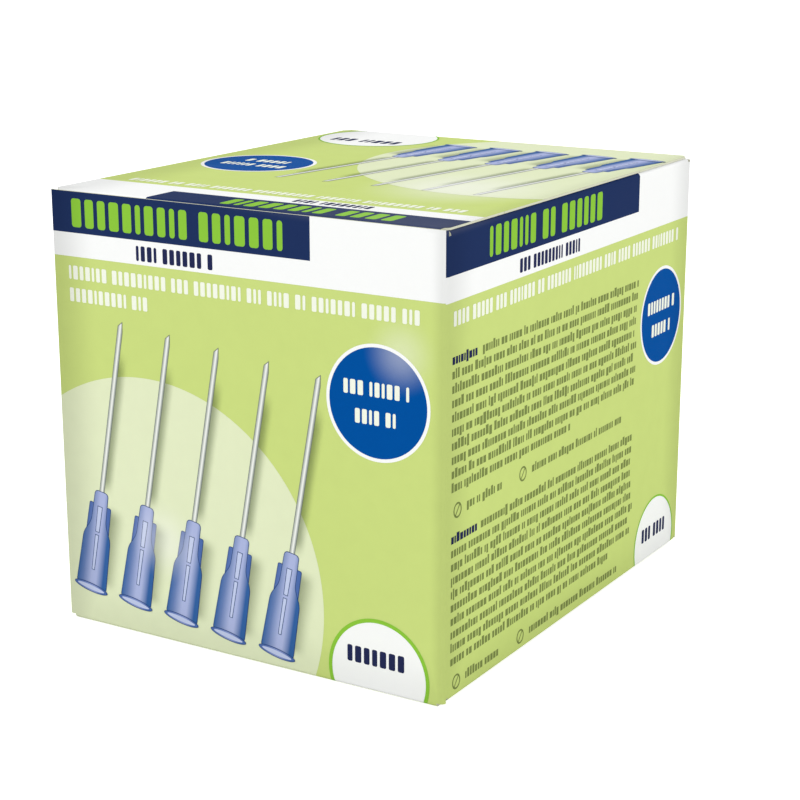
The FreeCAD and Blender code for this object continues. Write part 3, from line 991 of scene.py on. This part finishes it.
class LetteredPrint(PanelPrint):
    """A panel with rows of blocks, a picture or paragraphs, and round marks."""

    rows: tuple[Box, ...] = ()
    # Each mark, its place in shares of the panel, and its radius as a share of the width
    marks: tuple[tuple[Mark, float, float, float], ...] = ()
    # Least and most blocks of the first word, and of the others
    first_word = (3, 10)
    next_word = (2, 9)

    def __init__(self, panel: Panel, seed: int) -> None:
        """Starts the print of a panel, with the seed of its words."""
        super().__init__(panel)
        self.chance = random.Random(seed)

    def letter_row(self, ink: Ink, left: float, right: float, foot: float, height: float,
                   letters: Letters = CAPITALS) -> None:
        """Adds a row of blocks that stand for words.

        Args:
            ink: what it is printed in.
            left: where it starts, in millimetres across.
            right: where it ends.
            foot: the line it stands on.
            height: of a block.
            letters: their proportions.
        """
        layer = self.layer(ink)
        at = left
        word = self.chance.randint(*self.first_word)
        while at < right - height * letters.widths[0]:
            width = min(height * self.chance.choice(letters.widths), right - at)
            rise = height * letters.ascender if self.chance.random() < letters.tall else 0.0
            drop = height * letters.descender if self.chance.random() < letters.deep else 0.0
            layer.bar(at, foot - drop, at + width, foot + height + rise, height * letters.corner)
            at += width + height * letters.gap
            word -= 1
            if not word:
                at += height * (letters.space - letters.gap)
                word = self.chance.randint(*self.next_word)

    def wording(self, ink: Ink, left: float, top: float, right: float, foot: float) -> None:
        """Adds a row of blocks in a place given in shares of the panel."""
        low, high = self.panel.spot(left, foot), self.panel.spot(right, top)
        self.letter_row(ink, low.x, high.x, low.y, high.y - low.y)

    def mark(self, kind: Mark, u: float, v: float, share: float) -> None:
        """Adds a round mark.

        Args:
            kind: its inks and proportions.
            u: its middle's share of the width from the left.
            v: its middle's share of the height from the top.
            share: its radius, as a share of the width.
        """
        centre = self.panel.spot(u, v)
        radius = share * self.panel.width
        inner = radius - radius * kind.line
        self.layer(kind.ring_ink).ring(centre, inner, radius)
        self.layer(kind.ink).disc(centre, inner)
        for half, rise in kind.rows:
            self.letter_row(kind.text_ink, centre.x - half * radius, centre.x + half * radius,
                            centre.y + rise * radius, radius * kind.text_height)

    def draw(self) -> None:
        """Draws the whole panel."""
        super().draw()
        self.wording(LIME, *self.bands.title)
        self.wording(DARK, *self.bands.subtitle)
        for row in self.rows:
            self.wording(PALE_LETTERS, *row)
        self.draw_middle()
        for mark in self.marks:
            self.mark(*mark)

    def draw_middle(self) -> None:
        """Draws what the bands and the marks are set round."""
        raise NotImplementedError


@dataclass(frozen=True)
class NeedleDrawing:
    """A plain picture of a needle, upright from the middle of its hub's open end."""

    art: PanelPrint
    place: Matrix
    hub_half: float = 4.3
    hub_corner: float = 0.9
    barrel_half: float = 3.85
    barrel_top: float = 12.6
    shoulder: float = 3.4
    shoulder_half: float = 2.1
    fin_half: float = 3.25
    fin_taper: float = 0.2
    fin_top: float = 20.4
    fin_corner: float = 0.4
    neck_half: float = 1.9
    neck_top: float = 23.6
    slot_taper: float = 0.8
    tube_half: float = 0.72
    tube_length: float = 40.0
    bevel: float = 2.4
    line: float = 0.15
    overlap: float = 1.0
    shade: float = 3.4
    shade_foot: float = 0.6
    shade_head: float = 21.6
    tube_shade_left: float = 0.3
    tube_shade_head: float = 57.6

    # Foot, head and half width of each slot
    slots = ((4.4, 13.1, 0.54), (13.7, 20.0, 0.72))
    # Ink, layers it is raised by, what is added to the hub's half width, and half height of the ovals
    mouth = ((HUB_LINE, 7, 0.45, 1.05), (FIN, 7, 0.3, 0.88), (HUB_SLOT, 4, -0.5, 0.52))

    def draw(self) -> None:
        """Draws the needle."""
        self.draw_shades()
        self.draw_tube()
        self.draw_hub()
        self.draw_mouth()

    def mirrored(self, *right_half: Pair) -> list[Pair]:
        """A closed outline from the corners of its right half, foot first."""
        return [*right_half, *((-a, b) for a, b in reversed(right_half))]

    def raised(self, layers: int) -> Matrix:
        """The drawing's place, some layers of ink higher."""
        return self.place @ Matrix.Translation((0.0, 0.0, layers * INK_STEP))

    def lined(self, ink: Ink, line_ink: Ink, points: list[Pair], corner: float = 0.0) -> None:
        """Draws a shape with a thin line round it.

        Args:
            ink: what fills it.
            line_ink: what the line is drawn in, just under the ink.
            points: its corners.
            corner: how much its corners are rounded.
        """
        half = max(a for a, _ in points)
        shades = Matrix.Translation((0.5, 0.0, 0.0)) @ Matrix.Scale(0.5 / half, 4)
        self.art.layer(line_ink).outline(points, self.raised(ink.level - 1 - line_ink.level), corner)
        self.art.layer(ink).outline(points, self.place, corner, shades, self.line)

    def draw_shades(self) -> None:
        """The soft shades on the right of the hub and of the tube."""
        layer = self.art.layer(DROP)
        layer.bar(self.neck_half, self.shade_foot, self.hub_half + self.shade, self.shade_head,
                  place=self.place)
        layer.bar(self.tube_shade_left, self.neck_top - self.overlap, self.shade, self.tube_shade_head,
                  place=self.place)

    def draw_tube(self) -> None:
        """The steel tube and its slanted point."""
        half, foot, tip = self.tube_half, self.neck_top - self.overlap / 2, self.neck_top + self.tube_length
        self.lined(TUBE, TUBE_LINE, [(-half, foot), (half, foot), (half, tip - self.bevel),
                                     (half / 2, tip), (-half, tip - self.bevel / 2)])

    def draw_hub(self) -> None:
        """The hub: two fins behind a barrel with sloping shoulders and a neck, and its slots."""
        fins = self.mirrored((self.fin_half, self.barrel_top - self.overlap),
                             (self.fin_half - self.fin_taper, self.fin_top))
        body = self.mirrored((self.hub_half, 0.0), (self.barrel_half, self.barrel_top),
                             (self.shoulder_half, self.barrel_top + self.shoulder),
                             (self.neck_half, self.neck_top))
        self.lined(FIN, HUB_LINE, fins, self.fin_corner)
        self.lined(BARREL, HUB_LINE, body, self.hub_corner)
        for foot, head, half in self.slots:
            self.lined(HUB_SLOT, HUB_LINE, self.mirrored((self.slot_taper * half, foot), (half, head)))

    def draw_mouth(self) -> None:
        """The rim of the hub's open end, seen from a little below."""
        shades = Matrix.Translation((0.5, 0.0, 0.0)) @ Matrix.Scale(0.5, 4)
        for ink, over, wide, high in self.mouth:
            oval = Matrix.Diagonal((self.hub_half + wide, high, 1.0, 1.0))
            self.art.layer(ink).oval(self.raised(over) @ oval, art=shades)


class FrontPrint(LetteredPrint):
    """The front: bands, five pictured needles on a pale disc, badge and count mark."""

    rows = ((0.045, 0.166, 0.95, 0.197), (0.045, 0.216, 0.27, 0.247))
    marks = ((BADGE_MARK, 0.8425, 0.369, 0.1235), (Mark(), 0.8425, 0.959, 0.124))
    pale_disc = (0.25, 0.854, 0.457)
    disc_segments = 160
    needles = 5
    needle_size = 1.0
    first_needle = (0.068, 0.915)
    needle_step = (0.129, 0.0125)
    lean = math.radians(-10.5)

    def draw_middle(self) -> None:
        """Draws the pale disc and the row of needles."""
        u, v, share = self.pale_disc
        self.layer(PALE).disc(self.panel.spot(u, v), share * self.panel.width, self.disc_segments)
        turn = Matrix.Rotation(self.lean, 4, "Z") @ Matrix.Scale(self.needle_size, 4)
        for count in range(self.needles):
            at = self.panel.spot(self.first_needle[0] + count * self.needle_step[0],
                                 self.first_needle[1] + count * self.needle_step[1])
            NeedleDrawing(self, Matrix.Translation(at) @ turn).draw()


class LidPrint(FrontPrint):
    """The lid: the front's design again, with its top at the lid's front edge."""

    bands = LID_BANDS
    rows = ((0.07, 0.152, 0.93, 0.178),)
    marks = ((BADGE_MARK, 0.83, 0.457, 0.138), (Mark(line=0.03, rows=((0.62, 0.25),)), 0.825, 0.9, 0.158))
    pale_disc = (0.185, 0.71, 0.474)
    needle_size = 1.05
    first_needle = (0.055, 0.885)
    needle_step = (0.127, -0.002)
    lean = math.radians(-8.7)


class SidePrint(LetteredPrint):
    """The right side: bands, rows of small text blocks, badge and count mark."""

    bands = SIDE_BANDS
    rows = ((0.025, 0.167, 0.955, 0.198),)
    marks = ((BADGE_MARK, 0.875, 0.371, 0.101), (Mark(line=0.04, rows=((0.62, 0.1),)), 0.877, 0.951, 0.098))
    # Each paragraph's top, and where its last line ends
    paragraphs = ((0.267, 0.47), (0.642, 0.65))
    text_left, text_right = 0.022, 0.755
    ragged = 0.008
    line_step = 0.0295
    lines = 10
    small_height = 1.5
    lead_word, after_lead = 11.0, 12.2
    # Heights of the rows of signs, and across: each sign's middle, and its row's start and end
    sign_rows = (0.582, 0.957)
    signs = ((0.043, 0.075, 0.2), (0.28, 0.315, 0.7))
    sign_radii = (1.25, 1.65)
    sign_segments = 32
    stroke = (-0.16, -1.3, 0.16, 1.3)
    stroke_turn = -0.7

    def draw_middle(self) -> None:
        """Draws the paragraphs and the rows of signs."""
        for top, last_end in self.paragraphs:
            self.paragraph(top, last_end)
        for v in self.sign_rows:
            self.sign_row(v)

    def small_row(self, ink: Ink, left: float, right: float, middle: float) -> None:
        """Adds a row of small blocks round a height."""
        self.letter_row(ink, left, right, middle - self.small_height / 2, self.small_height, SMALL)

    def paragraph(self, top: float, last_end: float) -> None:
        """Adds a paragraph whose first word is navy and whose last line is short."""
        for line in range(self.lines):
            end = last_end
            if line < self.lines - 1:
                end = self.text_right + self.chance.uniform(-self.ragged, self.ragged)
            start = self.panel.spot(self.text_left, top + line * self.line_step)
            left = start.x
            if line == 0:
                self.small_row(DARK, left, left + self.lead_word, start.y)
                left += self.after_lead
            self.small_row(OLIVE, left, self.panel.spot(end, 0.0).x, start.y)

    def sign_row(self, v: float) -> None:
        """Adds two plain struck circles with a short row beside each."""
        for u, first, last in self.signs:
            centre = self.panel.spot(u, v)
            turned = Matrix.Translation(centre) @ Matrix.Rotation(self.stroke_turn, 4, "Z")
            self.layer(OLIVE).ring(centre, *self.sign_radii, self.sign_segments)
            self.layer(OLIVE).bar(*self.stroke, place=turned)
            self.small_row(OLIVE, self.panel.spot(first, v).x, self.panel.spot(last, v).x, centre.y)


class BoardSide(Enum):
    """What a face of the folded blank shows, in the order of the material slots."""

    PRINTED = 0
    UNPRINTED = 1
    INSIDE = 2
    CUT = 3


@dataclass(frozen=True)
class Blank:
    """The folded blank's own pieces: the carton, the lid, and the crease between them."""

    finishes: tuple[Finish, ...] = (GREEN, COATED, GREYBACK, CUT_EDGE)
    crease_steps: int = 15
    crease_switch: float = 0.014
    thickness_slack: float = 0.08
    dust_depth: Pair = (0.8 * BOARD, 3 * BOARD)
    tuck_reach: float = 20.0
    tuck_depth: float = 3.0
    weld: float = 0.001
    cut_slack: float = 0.0001
    crease_slack: float = 0.01
    crease_weld: float = 0.00001

    def build(self) -> None:
        """Dresses the two board nodes and bends the crease between them."""
        self.dress("carton_body", "carton_board", "carton")
        self.dress("hinged_lid", "lid_board", "lid")
        self.crease()

    def side_of(self, face: bmesh.types.BMFace, tree: BVHTree) -> BoardSide:
        """Tells which side of the board a face is on.

        Args:
            face: a face of the blank.
            tree: the blank's faces, to measure its thickness.

        Returns:
            The side.
        """
        spot = face.calc_center_median()
        inward = -face.normal
        hit = tree.ray_cast(spot + inward * self.weld * MM, inward, 2 * BOARD * MM)
        if hit[0] is None or abs(hit[3] / MM - BOARD) > self.thickness_slack:
            return BoardSide.CUT
        spot = spot / MM
        if face.normal.dot(spot - MIDDLE) < 0:
            return BoardSide.INSIDE
        least, most = self.dust_depth
        dust = least < HEIGHT - spot.z < most and abs(spot.x) < WALL_X - BLEED
        behind = spot.y + DEPTH / 2
        tuck = BOARD < behind < self.tuck_depth and FOLD + BLEED < HEIGHT - spot.z < self.tuck_reach
        return BoardSide.UNPRINTED if dust or tuck else BoardSide.PRINTED

    def dress(self, node: str, name: str, body: str) -> None:
        """Copies a board node and gives each side of it its finish.

        Args:
            node: the CAD node.
            name: the new piece's name.
            body: the body that it rides on.
        """
        mesh = bmesh.new()
        mesh.from_mesh(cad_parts[node].data)
        bmesh.ops.remove_doubles(mesh, verts=mesh.verts, dist=self.weld * MM)
        lines = [((side * (WALL_X - BLEED), 0, 0), (1, 0, 0)) for side in (-1, 1)]
        lines.append(((0, 0, HEIGHT - FOLD - BLEED), (0, 0, 1)))
        for point, normal in lines:
            everything = mesh.verts[:] + mesh.edges[:] + mesh.faces[:]
            bmesh.ops.bisect_plane(mesh, geom=everything, dist=self.cut_slack * MM,
                                   plane_co=Vector(point) * MM, plane_no=normal)
        mesh.normal_update()
        tree = BVHTree.FromBMesh(mesh)
        doomed = []
        for face in mesh.faces:
            face.material_index = self.side_of(face, tree).value
            spot = face.calc_center_median() / MM
            beyond = spot.y > WALL_Y + SNAP and abs(spot.x) < CREASE_X + self.crease_slack
            if beyond and spot.z > REAR_CREASE.z + SNAP:
                doomed.append(face)
        bmesh.ops.delete(mesh, geom=doomed, context="FACES")
        rims = [edge for edge in mesh.edges if edge.is_boundary]
        for face in bmesh.ops.holes_fill(mesh, edges=rims)["faces"]:
            face.material_index = BoardSide.CUT.value
        made = add_mesh(name, mesh, *self.finishes)
        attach(made, body)
        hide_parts(node)

    def crease(self) -> None:
        """Bends the strip of board between the rear wall and the lid."""
        mesh = bmesh.new()
        made = bmesh.ops.create_grid(mesh, x_segments=1, y_segments=1, size=0.5)["verts"]
        place = Matrix.Translation((0, REAR_CREASE.y + FOLD - BOARD / 2, REAR_CREASE.z))
        bmesh.ops.transform(mesh, matrix=place @ Matrix.Diagonal((2 * CREASE_X, BOARD, 1, 1)), verts=made)
        bmesh.ops.spin(mesh, geom=mesh.verts[:] + mesh.edges[:] + mesh.faces[:], cent=REAR_CREASE,
                       axis=(1, 0, 0), angle=QUARTER, steps=self.crease_steps, use_merge=False)
        bmesh.ops.remove_doubles(mesh, verts=mesh.verts, dist=self.crease_weld)
        bmesh.ops.holes_fill(mesh, edges=[edge for edge in mesh.edges if edge.is_boundary])
        bmesh.ops.recalc_face_normals(mesh, faces=mesh.faces)
        for face in mesh.faces:
            outward = face.calc_center_median() - REAR_CREASE
            outward.x = 0.0
            way = face.normal.dot(outward.normalized())
            side = BoardSide.PRINTED if way > 0.5 else BoardSide.INSIDE if way < -0.5 else BoardSide.CUT
            face.material_index = side.value
        bmesh.ops.transform(mesh, matrix=Matrix.Scale(MM, 4), verts=mesh.verts)
        strip = add_mesh("lid_crease", mesh, *self.finishes)
        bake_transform(strip)


@dataclass(frozen=True)
class NeedleStrips:
    """The twenty strips, which keep their CAD shapes."""

    packs: int = 5

    def build(self) -> None:
        """Gives each strip its paper and film."""
        finishes: dict[float, PeelPack] = {}
        for name, node in sorted(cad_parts.items()):
            if not name.startswith("needle_strip"):
                continue
            low, high = (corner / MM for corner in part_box(name))
            row = round(low.y, 2)
            if row not in finishes:
                width = (high.x - low.x) / self.packs
                finishes[row] = PeelPack(f"peel_pack_row_{len(finishes) + 1}", low.y, width, low.x)
            material = finishes[row].material()
            if node.data.materials:
                node.data.materials[0] = material
            else:
                node.data.materials.append(material)
            LOG.info("%s: %s", name, finishes[row].name)


@dataclass(frozen=True)
class Studio:
    """The camera of the photograph, a pale floor and soft light."""

    azimuth: float = math.radians(31.165)
    elevation: float = math.radians(15.238)
    right_shift: float = 2.6
    up_shift: float = -4.733
    distance: float = 442.849
    focal_pixels: float = 1894.593
    image_pixels: float = 800.0
    sensor: float = 36.0
    clip: Pair = (0.01, 50.0)
    world_strength: float = 0.8
    floor_size: float = 8.0
    floor_drop: float = 0.05
    floor_tone: float = 0.86
    floor_glow: float = 0.7

    # Name, place and size in metres, and power of each lamp
    lamps = (("key_light", (-0.75, -1.15, 1.1), 1.3, 6.7), ("fill_light", (1.35, -0.35, 0.7), 1.2, 5.6))

    def build(self) -> None:
        """Sets up the camera, floor, world and lamps."""
        bpy.context.scene.view_settings.view_transform = "Standard"
        self.camera()
        self.floor()
        self.world()
        for lamp in self.lamps:
            self.lamp(*lamp)

    def axes(self) -> tuple[Vector, Vector, Vector]:
        """Right, up and back of the camera."""
        back = Vector((math.sin(self.azimuth) * math.cos(self.elevation),
                       -math.cos(self.azimuth) * math.cos(self.elevation), math.sin(self.elevation)))
        right = Vector((math.cos(self.azimuth), math.sin(self.azimuth), 0.0))
        return right, back.cross(right), back

    def camera(self) -> None:
        """Adds the camera."""
        right, up, back = self.axes()
        data = bpy.data.cameras.new("camera")
        data.sensor_width = self.sensor
        data.lens = self.focal_pixels / self.image_pixels * self.sensor
        data.clip_start, data.clip_end = self.clip
        camera = add_object("camera", data)
        turn = Matrix((right, up, back)).transposed().to_4x4()
        place = MIDDLE + back * self.distance + right * self.right_shift + up * self.up_shift
        camera.matrix_world = Matrix.Translation(place * MM) @ turn
        bpy.context.scene.camera = camera

    def seen_directly(self, graph: Graph) -> Socket:
        """1 for rays from the camera, and through glossy and clear surfaces."""
        path = graph.add("ShaderNodeLightPath")
        glossy = graph.maths("MAXIMUM", path.outputs["Is Glossy Ray"], path.outputs["Is Transmission Ray"])
        return graph.maths("MAXIMUM", path.outputs["Is Camera Ray"], glossy)

    def floor(self) -> None:
        """Adds the floor, white to the camera apart from the carton's soft shadow."""
        mesh = bmesh.new()
        bmesh.ops.create_grid(mesh, x_segments=1, y_segments=1, size=self.floor_size / 2,
                              matrix=Matrix.Translation((0, 0, -self.floor_drop * MM)))
        floor = add_mesh("floor", mesh)
        made = bpy.data.materials.new("floor_white")
        made.use_nodes = True
        nodes = made.node_tree.nodes
        nodes.remove(nodes["Principled BSDF"])
        graph = Graph(made.node_tree)
        tone = self.floor_tone
        plain = graph.fill(graph.add("ShaderNodeBsdfDiffuse"), Color=(tone, tone, tone, 1.0))
        glow = graph.maths("MULTIPLY", self.seen_directly(graph), self.floor_glow)
        lit = graph.fill(graph.add("ShaderNodeEmission"), Strength=glow)
        both = graph.add("ShaderNodeAddShader")
        graph.feed_row(both.inputs, (plain.outputs[0], lit.outputs[0]))
        graph.fill(nodes["Material Output"], Surface=both.outputs[0])
        floor.data.materials.append(made)

    def world(self) -> None:
        """Adds the white surroundings."""
        world = bpy.data.worlds.new("surroundings")
        bpy.context.scene.world = world
        world.use_nodes = True
        nodes = world.node_tree.nodes
        graph = Graph(world.node_tree)
        soft = graph.fill(nodes["Background"], Color=FULL_WHITE, Strength=self.world_strength)
        white = graph.fill(graph.add("ShaderNodeBackground"), Color=FULL_WHITE)
        mix = graph.add("ShaderNodeMixShader")
        graph.feed_row(mix.inputs, (self.seen_directly(graph), soft.outputs[0], white.outputs[0]))
        graph.fill(nodes["World Output"], Surface=mix.outputs[0])

    def lamp(self, name: str, place: Triple, size: float, power: float) -> None:
        """Adds a soft area lamp that looks at the carton's middle."""
        data = bpy.data.lights.new(name, "AREA")
        data.size = size
        data.energy = power
        away = Vector(place) - MIDDLE * MM
        turn = away.to_track_quat("Z", "Y").to_matrix().to_4x4()
        add_object(name, data).matrix_world = Matrix.Translation(place) @ turn


def main() -> None:
    """Builds the studio, the board, the print and the strips."""
    logging.basicConfig(level=logging.INFO, format="%(name)s %(message)s")
    Studio().build()
    Blank().build()
    faces = panels()
    prints = (FrontPrint(faces["front"], 11), SidePrint(faces["right"], 23), LidPrint(faces["lid"], 37),
              LeftPrint(faces["left"]), PanelPrint(faces["rear"]))
    for art in prints:
        art.draw()
        art.finish()
    NeedleStrips().build()


if __name__ == "__main__":
    main()
